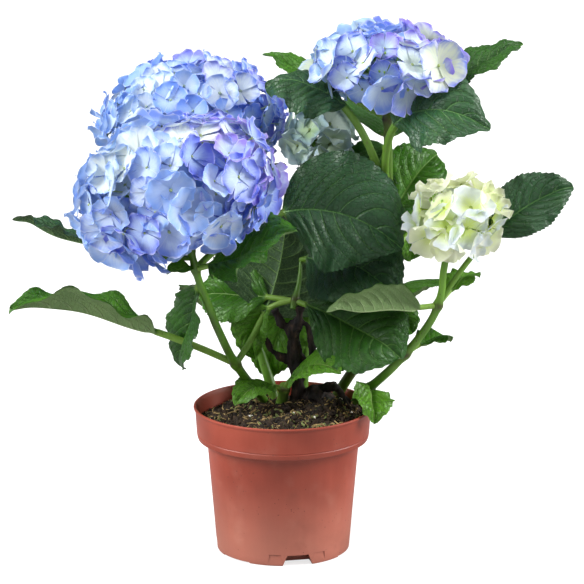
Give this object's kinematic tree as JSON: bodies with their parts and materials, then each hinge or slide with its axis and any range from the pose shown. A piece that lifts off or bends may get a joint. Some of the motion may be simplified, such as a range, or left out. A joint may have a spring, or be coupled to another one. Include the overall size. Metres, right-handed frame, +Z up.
{
  "type": "potted hydrangea shrub",
  "caption": "Mophead hydrangea with blue, violet and cream flower heads and broad serrated leaves, in a round terracotta-coloured plastic nursery pot.",
  "frame": {"origin": "the middle of the pot's flat underside, on the surface it stands on", "axes": "+Z up; -Y is the plant's front; +X is to the right seen from the front"},
  "size_m": [0.4342, 0.3031, 0.4197],
  "materials": {
    "terracotta_plastic": "semi-matt moulded plastic with a dusty bloom",
    "compost": "loose, fibrous and matt",
    "old_wood": "rough dead bark",
    "green_stem": "satin green stem with brown flecks",
    "leaf": "satin leaf with impressed veins",
    "petal_blue": "soft matt petals",
    "petal_cream": "soft matt petals",
    "petal_pale": "soft matt petals"
  },
  "bodies": {
    "root": {"pot": "terracotta_plastic", "compost": "compost", "flower_head_front": "petal_blue", "flower_head_back": "petal_blue", "flower_head_top": "petal_blue", "flower_head_cream": "petal_cream", "flower_head_pale": "petal_pale", "woody_base": "old_wood", "stem_left": "green_stem", "stem_back_left": "green_stem", "stem_centre": "green_stem", "stem_back": "green_stem", "stem_top": "green_stem", "stem_right": "green_stem", "stem_shoot": "green_stem", "leaf_left_long": "leaf", "leaf_left_far": "leaf", "leaf_left_hanging": "leaf", "leaf_left_under": "leaf", "leaf_left_inner": "leaf", "leaf_left_young": "leaf", "leaf_centre_high": "leaf", "leaf_centre_mid": "leaf", "leaf_centre_low": "leaf", "leaf_centre_left": "leaf", "leaf_centre_hanging": "leaf", "leaf_back_inner": "leaf", "leaf_rim": "leaf", "leaf_soil_right": "leaf", "leaf_soil_left": "leaf", "leaf_right_pale": "leaf", "leaf_right_small": "leaf", "leaf_right_low": "leaf", "leaf_right_high": "leaf", "leaf_right_behind": "leaf", "leaf_right_hanging": "leaf", "leaf_top_right": "leaf", "leaf_top_left": "leaf", "leaf_top_front_left": "leaf", "leaf_top_front_right": "leaf", "leaf_top_inner": "leaf", "leaf_top_middle": "leaf", "leaf_behind_top": "leaf", "leaf_behind_right": "leaf", "leaf_behind_right_low": "leaf", "leaf_behind_middle": "leaf", "leaf_behind_centre": "leaf", "leaf_behind_inner": "leaf", "leaf_behind_left": "leaf", "leaf_behind_far_left": "leaf", "leaf_behind_high_left": "leaf", "leaf_behind_high": "leaf", "leaf_behind_low": "leaf", "leaf_behind_foot": "leaf"}
  },
  "joints": []
}
